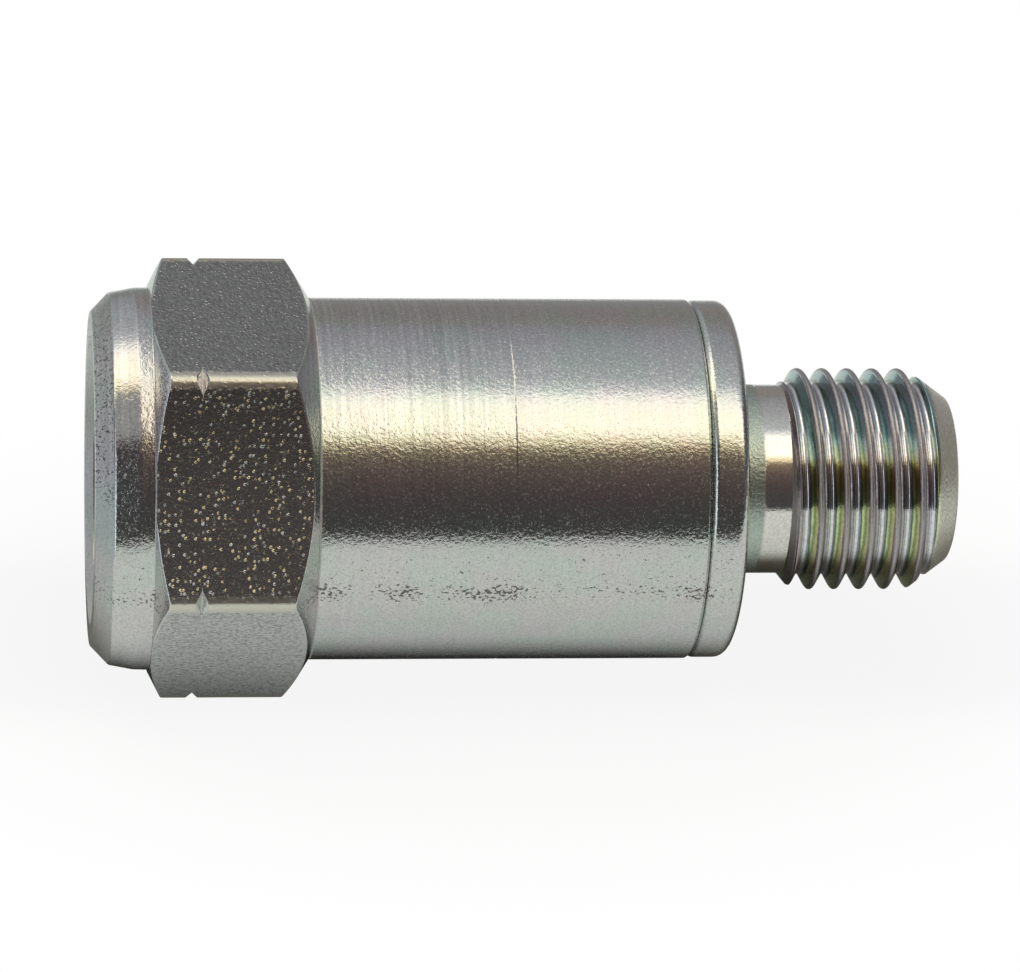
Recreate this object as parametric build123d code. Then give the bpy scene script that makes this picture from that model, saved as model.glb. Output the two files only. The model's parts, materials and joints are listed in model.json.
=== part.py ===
from build123d import *
import math
import os

# In-line compressor relief valve, in millimetres.
# The valve axis is X. The origin is the centre of the inlet shoulder, the flat that seats on the port.
# The threaded inlet stud points along +X and the outlet end along -X. The hexagon lies on a flat, +Z up.

# Inlet stud
thread_major_diameter = 11.11
thread_pitch = 1.27
thread_depth = 0.78
thread_crest_width = 0.16
thread_half_angle = 30.0
thread_first_turn = 1.93
stud_length = 11.2
stud_end_diameter = 8.2
stud_end_chamfer_angle = 36.0
stud_end_round = 0.25
neck_diameter = 9.45
neck_length = 2.75
neck_fillet = 0.35
neck_runout_angle = 50.0
inlet_bore_diameter = 5.0
inlet_bore_chamfer = 0.35

# Flange of the inlet fitting, between the stud and the barrel
flange_diameter = 17.85
flange_thickness = 1.92
flange_shoulder_round = 0.6
flange_seam_round = 0.1

# Spigot of the inlet fitting, which screws into the barrel
spigot_diameter = 13.9
spigot_length = 4.48
spigot_end_chamfer = 0.5

# Body: barrel, hexagon and collar
barrel_diameter = 17.95
barrel_length = 18.98
barrel_seam_chamfer = 0.12
hex_across_flats = 19.05
hex_length = 7.9
hex_turned_diameter = 21.8
hex_barrel_chamfer_angle = 32.0
hex_collar_chamfer_angle = 27.0
hex_collar_chamfer_depth = 1.3
notch_from_barrel = 5.7
notch_depth = 0.3
notch_half_angle = 45.0
collar_length = 2.85
collar_root_diameter = 18.9
collar_rim_diameter = 18.4
collar_end_diameter = 16.5
collar_chamfer_length = 0.9
collar_rim_round = 0.2

# Bores inside the body
thread_clearance = 0.05
guide_bore_diameter = 12.0
spring_bore_diameter = 11.0
adjuster_thread_diameter = 13.0
outlet_bore_diameter = 13.6
outlet_bore_depth = 3.65
outlet_chamfer = 0.4
spigot_end_gap = 0.2

# Static seal between the fitting and the body
seal_cord_diameter = 1.4
seal_clearance = 0.05
seal_groove_diameter = 12.0

# Valve seat, pressed into the fitting
seat_diameter = 8.8
seat_depth = 2.0
seat_press_gap = 0.01
seat_lip_height = 0.6
seat_lip_diameter = 6.5
seat_lip_width = 0.5
seat_bore_diameter = 4.6

# Poppet and what it carries
poppet_guide_clearance = 0.05
poppet_head_length = 3.2
poppet_flat_distance = 4.95
poppet_flat_count = 4
poppet_spigot_diameter = 6.0
poppet_spigot_length = 3.0
poppet_lift = 1.2
soft_disc_diameter = 8.5
soft_disc_thickness = 1.6
soft_disc_proud = 0.1
soft_disc_clearance = 0.05
seal_washer_diameter = 3.8
seal_washer_thickness = 0.35
seal_screw_diameter = 2.0
seal_screw_length = 3.6
seal_screw_head_diameter = 3.0
seal_screw_head_height = 0.8
seal_screw_slot_width = 0.4
seal_screw_slot_depth = 0.4
seal_screw_clearance = 0.03

# Spring and its seats
spring_wire_diameter = 1.5
spring_mean_diameter = 8.9
spring_pitch = 2.0
lower_seat_thickness = 0.7
upper_seat_thickness = 1.0
upper_seat_spigot_length = 2.5
upper_seat_bore_diameter = 3.8
spring_seat_clearance = 0.05

# Adjusting screw and its pellet
adjuster_length = 4.2
adjuster_recess = 0.8
adjuster_travel = 1.0
adjuster_chamfer = 0.4
adjuster_bore_diameter = 4.8
socket_across_flats = 8.0
socket_depth = 2.8
pellet_diameter = 1.4
pellet_depth = 1.4
pellet_clearance = 0.02
pellet_from_front = 1.9

# Stations along the axis, worked out from the sizes above
seam_x = -flange_thickness
barrel_end_x = seam_x - barrel_length
hex_end_x = barrel_end_x - hex_length
outlet_x = hex_end_x - collar_length
notch_x = barrel_end_x - notch_from_barrel
spigot_end_x = seam_x - spigot_length
gland_x = seam_x - seal_cord_diameter - 2 * seal_clearance
guide_bore_x = spigot_end_x - spigot_end_gap
seat_lip_x = spigot_end_x - seat_lip_height
poppet_front_x = seat_lip_x - soft_disc_proud
poppet_back_x = poppet_front_x - poppet_head_length
lift_stop_x = poppet_back_x - poppet_lift
spring_start_x = poppet_back_x - lower_seat_thickness
outlet_floor_x = outlet_x + outlet_bore_depth
adjuster_back_x = outlet_floor_x + adjuster_recess
adjuster_front_x = adjuster_back_x + adjuster_length
adjuster_thread_x = adjuster_front_x + 2 * adjuster_travel
spring_end_x = adjuster_front_x + upper_seat_thickness
spring_length = spring_start_x - spring_end_x
thread_turns = math.ceil((stud_length - thread_first_turn) / thread_pitch) + 1

# Radii that more than one piece needs
thread_major_radius = thread_major_diameter / 2
thread_root_radius = thread_major_radius - thread_depth
poppet_radius = guide_bore_diameter / 2 - poppet_guide_clearance
adjuster_radius = adjuster_thread_diameter / 2 - thread_clearance
spring_outer_radius = (spring_mean_diameter + spring_wire_diameter) / 2
spigot_radius = spigot_diameter / 2
gland_radius = seal_groove_diameter / 2 + seal_cord_diameter + 2 * seal_clearance


def turned(points, rounded=()):
    """Turn an outline of (x, radius) points about the axis, with the named corners rounded."""
    face = make_face(Polyline(*points, close=True))
    for corner, radius in rounded:
        face = fillet(face.vertices().sort_by_distance(Vector(*corner))[0], radius)
    return revolve(face, Axis.X)


def drum(x_from, x_to, diameter, bore=0.0):
    """A plain ring or disc between two stations on the axis."""
    outline = [(x_from, bore / 2), (x_from, diameter / 2), (x_to, diameter / 2), (x_to, bore / 2)]
    return turned(outline)


def hexagon(x_from, x_to, across_flats):
    """A hexagonal prism on the axis, with flats square to Z."""
    sketch = RegularPolygon(across_flats / 2, 6, major_radius=False)
    prism = extrude(Plane.YZ * sketch, amount=x_to - x_from)
    return Pos(x_from, 0, 0) * prism


def helix_frame(path):
    """The plane through the axis at the start of a helix about X: first axial, then radial."""
    start = path @ 0
    radial = Vector(0, start.Y, start.Z).normalized()
    return Plane(origin=start, x_dir=(1, 0, 0), z_dir=Vector(1, 0, 0).cross(radial))


def thread_groove(turn):
    """One turn of the V groove of the stud's right-hand thread, counted from the neck."""
    slope = math.tan(math.radians(thread_half_angle))
    root_half_width = (thread_pitch - thread_crest_width) / 2 - thread_depth * slope
    reach = thread_depth + thread_crest_width / 2
    top_half_width = root_half_width + reach * slope
    start = (thread_first_turn + turn * thread_pitch, 0, 0)
    path = Helix(thread_pitch, thread_pitch, thread_root_radius, center=start, direction=(1, 0, 0))
    groove = Polyline(
        (-root_half_width, 0),
        (root_half_width, 0),
        (top_half_width, reach),
        (-top_half_width, reach),
        close=True,
    )
    return sweep(helix_frame(path) * make_face(groove), path=path, is_frenet=True)


def inlet_fitting():
    """Threaded stud, neck and flange in one piece, with a spigot that screws into the barrel."""
    neck_radius = neck_diameter / 2
    runout = (thread_major_radius - neck_radius) / math.tan(math.radians(neck_runout_angle))
    end_radius = stud_end_diameter / 2
    end_chamfer = (thread_major_radius - end_radius) / math.tan(math.radians(stud_end_chamfer_angle))
    bore_radius = inlet_bore_diameter / 2
    groove_radius = seal_groove_diameter / 2
    outline = [
        (stud_length, bore_radius + inlet_bore_chamfer),
        (stud_length, end_radius),
        (stud_length - end_chamfer, thread_major_radius),
        (neck_length + runout, thread_major_radius),
        (neck_length, neck_radius),
        (0, neck_radius),
        (0, flange_diameter / 2),
        (seam_x, flange_diameter / 2),
        (seam_x, groove_radius),
        (gland_x, groove_radius),
        (gland_x, spigot_radius),
        (spigot_end_x + spigot_end_chamfer, spigot_radius),
        (spigot_end_x, spigot_radius - spigot_end_chamfer),
        (spigot_end_x, seat_diameter / 2),
        (spigot_end_x + seat_depth, seat_diameter / 2),
        (spigot_end_x + seat_depth, bore_radius),
        (stud_length - inlet_bore_chamfer, bore_radius),
    ]
    rounded = [
        ((stud_length, end_radius), stud_end_round),
        ((0, neck_radius), neck_fillet),
        ((0, flange_diameter / 2), flange_shoulder_round),
        ((seam_x, flange_diameter / 2), flange_seam_round),
    ]
    fitting = turned(outline, rounded)
    for turn in range(thread_turns):
        fitting -= thread_groove(turn)
    return fitting


def hexagon_blank():
    """The hexagon with turned corners, a chamfer at each end and the groove cut in its corners."""
    turned_radius = hex_turned_diameter / 2
    barrel_radius = barrel_diameter / 2
    face_radius = turned_radius - hex_collar_chamfer_depth
    right_chamfer = (turned_radius - barrel_radius) * math.tan(math.radians(hex_barrel_chamfer_angle))
    left_chamfer = hex_collar_chamfer_depth * math.tan(math.radians(hex_collar_chamfer_angle))
    notch_half_width = notch_depth * math.tan(math.radians(notch_half_angle))
    outline = [
        (barrel_end_x, 0),
        (barrel_end_x, barrel_radius),
        (barrel_end_x - right_chamfer, turned_radius),
        (notch_x + notch_half_width, turned_radius),
        (notch_x, turned_radius - notch_depth),
        (notch_x - notch_half_width, turned_radius),
        (hex_end_x + left_chamfer, turned_radius),
        (hex_end_x, face_radius),
        (hex_end_x, 0),
    ]
    return turned(outline) & hexagon(hex_end_x, barrel_end_x, hex_across_flats)


def body_bores():
    """Everything bored out of the body: gland, fitting thread, guide, spring, adjuster and outlet."""
    fitting_thread_radius = spigot_radius + thread_clearance
    outlet_radius = outlet_bore_diameter / 2
    outline = [
        (seam_x, 0),
        (seam_x, gland_radius),
        (gland_x, gland_radius),
        (gland_x, fitting_thread_radius),
        (guide_bore_x, fitting_thread_radius),
        (guide_bore_x, guide_bore_diameter / 2),
        (lift_stop_x, guide_bore_diameter / 2),
        (lift_stop_x, spring_bore_diameter / 2),
        (adjuster_thread_x, spring_bore_diameter / 2),
        (adjuster_thread_x, adjuster_thread_diameter / 2),
        (outlet_floor_x, adjuster_thread_diameter / 2),
        (outlet_floor_x, outlet_radius),
        (outlet_x + outlet_chamfer, outlet_radius),
        (outlet_x, outlet_radius + outlet_chamfer),
        (outlet_x, 0),
    ]
    return turned(outline)


def valve_body():
    """Collar, hexagon and barrel in one piece."""
    barrel_radius = barrel_diameter / 2
    barrel = turned(
        [
            (seam_x, 0),
            (seam_x, barrel_radius - barrel_seam_chamfer),
            (seam_x - barrel_seam_chamfer, barrel_radius),
            (barrel_end_x, barrel_radius),
            (barrel_end_x, 0),
        ]
    )
    rim = (outlet_x + collar_chamfer_length, collar_rim_diameter / 2)
    collar = turned(
        [
            (hex_end_x, 0),
            (hex_end_x, collar_root_diameter / 2),
            rim,
            (outlet_x, collar_end_diameter / 2),
            (outlet_x, 0),
        ],
        [(rim, collar_rim_round)],
    )
    return barrel + hexagon_blank() + collar - body_bores()


def body_seal():
    """O-ring in the gland between the flange and the body."""
    centre = ((seam_x + gland_x) / 2, (seal_groove_diameter + seal_cord_diameter) / 2 + seal_clearance)
    return revolve(Pos(*centre) * Circle(seal_cord_diameter / 2), Axis.X)


def valve_seat():
    """Seat ring with a narrow raised lip, pressed into the fitting."""
    outer = seat_diameter / 2 - seat_press_gap
    lip_outer = seat_lip_diameter / 2
    bore = seat_bore_diameter / 2
    return turned(
        [
            (spigot_end_x + seat_depth, bore),
            (spigot_end_x + seat_depth, outer),
            (spigot_end_x, outer),
            (spigot_end_x, lip_outer + seat_lip_height / 2),
            (seat_lip_x, lip_outer),
            (seat_lip_x, lip_outer - seat_lip_width),
            (spigot_end_x, bore),
        ]
    )


def poppet():
    """Disc holder: a head guided on lands between flats, and a spigot that centres the spring."""
    recess_depth = soft_disc_thickness - soft_disc_proud
    head = drum(poppet_front_x, poppet_back_x, 2 * poppet_radius)
    for i in range(poppet_flat_count):
        flat = Box(poppet_head_length, 2 * poppet_radius, poppet_radius, align=(Align.MAX, Align.CENTER, Align.MIN))
        flat = Pos(poppet_front_x, 0, poppet_flat_distance) * flat
        head -= Rot(360 * i / poppet_flat_count + 45, 0, 0) * flat
    spigot = drum(poppet_back_x, poppet_back_x - poppet_spigot_length, poppet_spigot_diameter)
    recess_diameter = soft_disc_diameter + 2 * soft_disc_clearance
    recess = drum(poppet_front_x, poppet_front_x - recess_depth, recess_diameter)
    screw_hole_end_x = seat_lip_x + seal_washer_thickness - seal_screw_length - seal_screw_clearance
    screw_hole = drum(poppet_front_x, screw_hole_end_x, seal_screw_diameter + 2 * seal_screw_clearance)
    return head + spigot - recess - screw_hole


def poppet_seal():
    """Soft disc, a little proud of the poppet, which closes on the seat lip."""
    hole = seal_screw_diameter + 2 * seal_screw_clearance
    return drum(seat_lip_x, seat_lip_x - soft_disc_thickness, soft_disc_diameter, hole)


def seal_washer():
    """Washer that holds the soft disc down inside the seat lip."""
    hole = seal_screw_diameter + 2 * seal_screw_clearance
    return drum(seat_lip_x + seal_washer_thickness, seat_lip_x, seal_washer_diameter, hole)


def seal_screw():
    """Slotted screw through the washer and the soft disc into the poppet."""
    under_head_x = seat_lip_x + seal_washer_thickness
    head_x = under_head_x + seal_screw_head_height
    head = drum(head_x, under_head_x, seal_screw_head_diameter)
    shank = drum(under_head_x, under_head_x - seal_screw_length, seal_screw_diameter)
    slot = Box(
        seal_screw_slot_depth,
        seal_screw_head_diameter,
        seal_screw_slot_width,
        align=(Align.MAX, Align.CENTER, Align.CENTER),
    )
    return head + shank - Pos(head_x, 0, 0) * slot


def lower_spring_seat():
    """Washer between the poppet and the spring, centred on the poppet's spigot."""
    hole = poppet_spigot_diameter + 2 * spring_seat_clearance
    return drum(poppet_back_x, spring_start_x, 2 * spring_outer_radius, hole)


def main_spring():
    """Compression spring with ends ground flat."""
    path = Helix(
        spring_pitch,
        spring_length + spring_wire_diameter,
        spring_mean_diameter / 2,
        center=(spring_end_x - spring_wire_diameter / 2, 0, 0),
        direction=(1, 0, 0),
    )
    wire = sweep(helix_frame(path) * Circle(spring_wire_diameter / 2), path=path, is_frenet=True)
    between_seats = drum(spring_start_x, spring_end_x, 2 * spring_outer_radius + spring_wire_diameter)
    return wire & between_seats


def upper_spring_seat():
    """Spring cap with a spigot inside the spring and a flow hole through it."""
    bore = upper_seat_bore_diameter / 2
    spigot = poppet_spigot_diameter / 2
    flange = spring_outer_radius
    return turned(
        [
            (spring_end_x + upper_seat_spigot_length, bore),
            (spring_end_x + upper_seat_spigot_length, spigot),
            (spring_end_x, spigot),
            (spring_end_x, flange),
            (adjuster_front_x, flange),
            (adjuster_front_x, bore),
        ]
    )


def pellet_place():
    """Where the pellet's axis meets the floor of its hole in the adjusting screw."""
    return Pos(adjuster_front_x - pellet_from_front, 0, adjuster_radius - pellet_depth)


def adjusting_screw():
    """Hollow screw that sets the spring, with a hexagon socket in its outlet end."""
    bore = adjuster_bore_diameter / 2
    socket_x = adjuster_back_x + socket_depth
    blank = turned(
        [
            (adjuster_front_x, bore),
            (adjuster_front_x, adjuster_radius - adjuster_chamfer),
            (adjuster_front_x - adjuster_chamfer, adjuster_radius),
            (adjuster_back_x + adjuster_chamfer, adjuster_radius),
            (adjuster_back_x, adjuster_radius - adjuster_chamfer),
            (adjuster_back_x, bore),
        ]
    )
    socket = hexagon(adjuster_back_x, socket_x, socket_across_flats)
    hole_radius = pellet_diameter / 2 + pellet_clearance
    hole = Cylinder(hole_radius, 2 * pellet_depth, align=(Align.CENTER, Align.CENTER, Align.MIN))
    return blank - socket - pellet_place() * hole


def locking_pellet():
    """Plastic pellet that rubs on the body's thread and holds the setting."""
    plug = Cylinder(pellet_diameter / 2, 2 * pellet_depth, align=(Align.CENTER, Align.CENTER, Align.MIN))
    reach = 2 * (adjuster_radius + pellet_clearance)
    return pellet_place() * plug & drum(adjuster_front_x, adjuster_back_x, reach)


pieces = [
    valve_body,
    inlet_fitting,
    body_seal,
    valve_seat,
    poppet,
    poppet_seal,
    seal_washer,
    seal_screw,
    lower_spring_seat,
    main_spring,
    upper_spring_seat,
    adjusting_screw,
    locking_pellet,
]

os.makedirs("parts", exist_ok=True)
for piece in pieces:
    export_step(piece(), "parts/" + piece.__name__ + ".step")
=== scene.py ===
import json
import math
import bmesh
import bpy
import numpy as np
from mathutils import Matrix, Vector


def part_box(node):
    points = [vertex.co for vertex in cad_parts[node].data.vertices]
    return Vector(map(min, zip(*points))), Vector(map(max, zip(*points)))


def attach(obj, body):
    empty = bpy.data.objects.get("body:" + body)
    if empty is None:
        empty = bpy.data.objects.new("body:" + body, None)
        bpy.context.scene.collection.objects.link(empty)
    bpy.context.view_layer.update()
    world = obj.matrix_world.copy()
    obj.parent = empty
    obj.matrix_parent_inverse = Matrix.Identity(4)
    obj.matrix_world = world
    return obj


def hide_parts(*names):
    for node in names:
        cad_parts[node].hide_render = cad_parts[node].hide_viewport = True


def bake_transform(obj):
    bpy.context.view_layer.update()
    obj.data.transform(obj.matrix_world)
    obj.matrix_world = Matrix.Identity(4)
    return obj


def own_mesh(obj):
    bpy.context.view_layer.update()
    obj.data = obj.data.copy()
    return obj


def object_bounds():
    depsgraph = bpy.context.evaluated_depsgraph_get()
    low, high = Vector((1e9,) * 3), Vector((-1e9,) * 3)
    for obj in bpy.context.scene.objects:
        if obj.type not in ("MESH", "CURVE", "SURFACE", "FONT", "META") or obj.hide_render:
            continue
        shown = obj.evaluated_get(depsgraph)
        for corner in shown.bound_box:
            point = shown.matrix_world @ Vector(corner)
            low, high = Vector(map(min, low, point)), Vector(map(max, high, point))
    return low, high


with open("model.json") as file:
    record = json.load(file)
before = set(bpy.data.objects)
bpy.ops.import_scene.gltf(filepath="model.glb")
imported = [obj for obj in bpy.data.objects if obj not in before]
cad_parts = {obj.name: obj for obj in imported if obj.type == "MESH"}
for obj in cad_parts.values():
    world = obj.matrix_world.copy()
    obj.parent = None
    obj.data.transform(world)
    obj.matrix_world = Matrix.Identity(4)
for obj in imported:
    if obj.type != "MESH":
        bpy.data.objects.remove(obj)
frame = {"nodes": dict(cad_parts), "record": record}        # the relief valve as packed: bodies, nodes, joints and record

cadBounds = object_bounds()
mm = 0.001  # lengths below are in millimetres unless a note says otherwise
joinWithin = 0.0004 * mm  # points closer than this become one
print("valve: frame loaded,", len(frame["nodes"]), "nodes")


# small helpers for node trees, used by the geometry and the materials alike

def plug(tree, socket, value):
    if isinstance(value, bpy.types.NodeSocket):
        tree.links.new(value, socket)
    else:
        socket.default_value = value


def addNode(tree, kind, inputs=None, **settings):
    node = tree.nodes.new(kind)
    for key, value in settings.items():
        setattr(node, key, value)
    for key, value in (inputs or {}).items():
        plug(tree, node.inputs[key], value)
    return node


def calc(tree, operation, *values):
    node = addNode(tree, "ShaderNodeMath", operation=operation)
    for socket, value in zip(node.inputs, values):
        plug(tree, socket, value)
    return node.outputs[0]


def times(tree, first, *others):
    for value in others:
        first = calc(tree, "MULTIPLY", first, value)
    return first


def parts(tree, vector):
    return addNode(tree, "ShaderNodeSeparateXYZ", {"Vector": vector}).outputs


def mark(tree, name):
    # a value that the geometry nodes left on the mesh
    return addNode(tree, "ShaderNodeAttribute", attribute_name=name).outputs["Fac"]


def geometryTree(name, sizes):
    # a tree with one geometry in, one out, a material and a named input for each size
    tree = bpy.data.node_groups.new(name, "GeometryNodeTree")
    tree.interface.new_socket("Geometry", in_out="INPUT", socket_type="NodeSocketGeometry")
    for label, value in sizes.items():
        kind = "NodeSocketInt" if isinstance(value, int) else "NodeSocketFloat"
        tree.interface.new_socket(label, in_out="INPUT", socket_type=kind)
    tree.interface.new_socket("Material", in_out="INPUT", socket_type="NodeSocketMaterial")
    tree.interface.new_socket("Geometry", in_out="OUTPUT", socket_type="NodeSocketGeometry")
    return tree, tree.nodes.new("NodeGroupInput").outputs, tree.nodes.new("NodeGroupOutput")


def closeTree(tree, output, geometry, material):
    real = addNode(tree, "GeometryNodeRealizeInstances", {"Geometry": geometry})
    painted = addNode(tree, "GeometryNodeSetMaterial", {"Geometry": real.outputs[0], "Material": material})
    plug(tree, output.inputs[0], painted.outputs[0])


def runTree(name, seedMesh, tree, sizes, material):
    # runs the tree on a seed mesh and keeps the result as a plain mesh
    holder = bpy.data.objects.new(name + "Seed", seedMesh)
    bpy.context.scene.collection.objects.link(holder)
    modifier = holder.modifiers.new(name, "NODES")
    modifier.node_group = tree
    values = dict(sizes, Material=material)
    for item in tree.interface.items_tree:
        if item.in_out == "INPUT" and item.name in values:
            modifier[item.identifier] = values[item.name]
    evaluated = holder.evaluated_get(bpy.context.evaluated_depsgraph_get())
    mesh = bpy.data.meshes.new_from_object(evaluated)
    holder.modifiers.remove(modifier)
    bpy.data.objects.remove(holder)
    mesh.name = name
    return mesh


def tidyMesh(mesh):
    # closes seams and poles, drops collapsed faces and turns the faces outwards
    shape = bmesh.new()
    shape.from_mesh(mesh)
    bmesh.ops.remove_doubles(shape, verts=shape.verts, dist=joinWithin)
    bmesh.ops.dissolve_degenerate(shape, edges=shape.edges, dist=joinWithin * 0.5)
    bmesh.ops.recalc_face_normals(shape, faces=shape.faces)
    for face in shape.faces:
        face.smooth = True
    shape.to_mesh(mesh)
    shape.free()


def addPiece(name, mesh, body, node):
    piece = bpy.data.objects.new(name, mesh)
    bpy.context.scene.collection.objects.link(piece)
    if body:
        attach(piece, body)
    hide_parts(node)
    return piece


# outlines and turned shapes

def roundCorners(corners, radii, steps=4, hold=0.04, most=0.42):
    # corners is (columns, corners, 2), closed; each corner comes back as a strip of points on an arc,
    # with a holding point on each side that keeps the shading of the flat stretches flat; an arc takes up
    # at most the share called most of a side
    strips = []
    for k, radius in enumerate(radii):
        here = corners[:, k]
        if not radius:
            strips.append(here[:, None])
            continue
        back = corners[:, k - 1] - here
        ahead = corners[:, (k + 1) % len(radii)] - here
        backLength = np.maximum(np.linalg.norm(back, axis=1), 1e-9)[:, None]
        aheadLength = np.maximum(np.linalg.norm(ahead, axis=1), 1e-9)[:, None]
        back, ahead = back / backLength, ahead / aheadLength
        turn = np.clip(-(back * ahead).sum(axis=1), -0.99, 1)[:, None]
        weight = np.sqrt((1 + turn) / 2)
        reach = radius * np.sqrt(np.maximum(1 - turn, 0) / (1 + turn))
        reach = np.minimum(reach, most * np.minimum(backLength, aheadLength))
        start, end = here + back * reach, here + ahead * reach
        strip = [start + back * np.minimum(hold, 0.1 * backLength)]
        for t in np.linspace(0, 1, steps + 1):
            a, b, c = (1 - t) ** 2, 2 * t * (1 - t) * weight, t ** 2
            strip.append((start * a + here * b + end * c) / (a + b + c))
        strip.append(end + ahead * np.minimum(hold, 0.1 * aheadLength))
        strips.append(np.stack(strip, axis=1))
    return strips


def hexSection(acrossFlats, turnedDiameter, flatWear, arcWear, flatSteps, hold):
    # angles and radii round a hexagon with turned corners, with flats square to Z
    flat, turned = acrossFlats / 2, turnedDiameter / 2
    edge = math.acos(flat / turned)
    half = flat * math.tan(edge)
    reach = half - flatWear
    across = np.linspace(-(reach - hold), reach - hold, flatSteps + 1)
    side = [(flat, reach)]
    arcPoint = turned * np.array([math.cos(edge + arcWear / turned), math.sin(edge + arcWear / turned)])
    for t in (0.25, 0.5, 0.75):
        a, b, c = (1 - t) ** 2, 2 * t * (1 - t), t ** 2
        side.append((flat * (a + b) + arcPoint[0] * c, reach * a + half * b + arcPoint[1] * c))
    side.append(tuple(arcPoint))
    held = edge + (arcWear + hold) / turned
    side.append((turned * math.cos(held), turned * math.sin(held)))
    points = [(x, -y) for x, y in reversed(side)] + [(flat, y) for y in across] + side
    angle = np.array([math.atan2(y, x) for x, y in points] + [math.pi / 6])
    radius = np.array([math.hypot(x, y) for x, y in points] + [turned])
    onFlat = np.abs(angle) < math.pi / 6 + 0.001
    angles = np.concatenate([angle + math.pi / 6 + k * math.pi / 3 for k in range(6)])
    return angles, np.tile(radius, 6), np.tile(onFlat, 6)


# valve body: collar, hexagon and barrel, with the bores behind them

bodySizes = {
    "seamX": -1.92, "barrelEndX": -20.9, "hexEndX": -28.8, "outletX": -31.65,
    "barrelDiameter": 17.95, "seamChamfer": 0.15,
    "toolLineX": -11.5, "toolLineWidth": 0.17, "toolLineDepth": 0.024,
    "acrossFlats": 19.05, "turnedDiameter": 21.8, "faceDiameter": 19.2,
    "barrelChamferAngle": 32.0, "collarChamferAngle": 27.0,
    "notchX": -26.6, "notchDiameter": 21.2,
    "collarRootDiameter": 18.9, "collarRimDiameter": 18.4, "collarEndDiameter": 16.5,
    "bulgeBehindFace": 0.75, "bulgeDrop": 0.02, "bulgeRound": 0.9,
    "collarChamfer": 0.9, "collarRimRound": 0.2, "endRound": 0.1,
    "outletBore": 13.6, "outletChamfer": 0.4, "outletFloorX": -28.0,
    "adjusterThread": 13.0, "adjusterThreadX": -21.0, "springBore": 11.0, "liftStopX": -11.51,
    "guideBore": 12.0, "guideX": -6.6, "fittingThread": 14.0, "glandX": -3.42, "glandDiameter": 15.0,
    "fineRound": 0.03, "seamRound": 0.04, "faceRound": 0.04, "smallRound": 0.05, "cornerRound": 0.06,
    "edgeRound": 0.12, "flatWear": 0.24, "arcWear": 0.1, "arcHold": 0.03, "flatSteps": 30, "hold": 0.03,
}


def bodyOutline(size, limit):
    # closed outline of (x, radius) for each column; limit is how far out the hexagon reaches there
    barrel, face = size["barrelDiameter"] / 2, size["faceDiameter"] / 2
    slopeRight = math.tan(math.radians(size["barrelChamferAngle"]))
    slopeLeft = math.tan(math.radians(size["collarChamferAngle"]))
    notchX, notch = size["notchX"], np.maximum(limit - size["notchDiameter"] / 2, 0)
    faceTop = np.minimum(limit, face)
    line, wide, hold = size["toolLineX"], size["toolLineWidth"] / 2, size["hold"]
    seam, barrelEnd, hexEnd, outlet = size["seamX"], size["barrelEndX"], size["hexEndX"], size["outletX"]
    collar, floorX = size["collarRootDiameter"] / 2, size["outletFloorX"]
    bore, chamfer, thread = size["outletBore"] / 2, size["outletChamfer"], size["adjusterThread"] / 2
    threadX, spring, stopX = size["adjusterThreadX"], size["springBore"] / 2, size["liftStopX"]
    guide, guideX, fitting = size["guideBore"] / 2, size["guideX"], size["fittingThread"] / 2
    glandX, gland = size["glandX"], size["glandDiameter"] / 2
    fine, small, edge = size["fineRound"], size["smallRound"], size["edgeRound"]
    corners = [
        (seam, barrel - size["seamChamfer"], fine),
        (seam - size["seamChamfer"], barrel, size["seamRound"]),
        (line + wide + hold, barrel, 0),
        (line + wide, barrel, 0),
        (line, barrel - size["toolLineDepth"], 0),
        (line - wide, barrel, 0),
        (line - wide - hold, barrel, 0),
        (barrelEnd, barrel, size["cornerRound"]),
        (barrelEnd - (limit - barrel) * slopeRight, limit, edge),
        (notchX + notch, limit, fine),
        (notchX, limit - notch, fine),
        (notchX - notch, limit, fine),
        (hexEnd + (limit - faceTop) * slopeLeft, limit, edge),
        (hexEnd, faceTop, size["faceRound"]),
        (hexEnd, collar, small),
        (hexEnd - size["bulgeBehindFace"], collar - size["bulgeDrop"], size["bulgeRound"]),
        (outlet + size["collarChamfer"], size["collarRimDiameter"] / 2, size["collarRimRound"]),
        (outlet, size["collarEndDiameter"] / 2, size["endRound"]),
        (outlet, bore + chamfer, small),
        (outlet + chamfer, bore, small),
        (floorX, bore, small),
        (floorX, thread, small),
        (threadX, thread, 0),
        (threadX, spring, 0),
        (stopX, spring, 0),
        (stopX, guide, 0),
        (guideX, guide, 0),
        (guideX, fitting, 0),
        (glandX, fitting, 0),
        (glandX, gland, 0),
        (seam, gland, fine),
    ]
    x = np.stack([np.broadcast_to(c[0], limit.shape) for c in corners], axis=1)
    r = np.stack([np.broadcast_to(c[1], limit.shape) for c in corners], axis=1)
    return np.stack([x, r], axis=2), [c[2] for c in corners]


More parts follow.
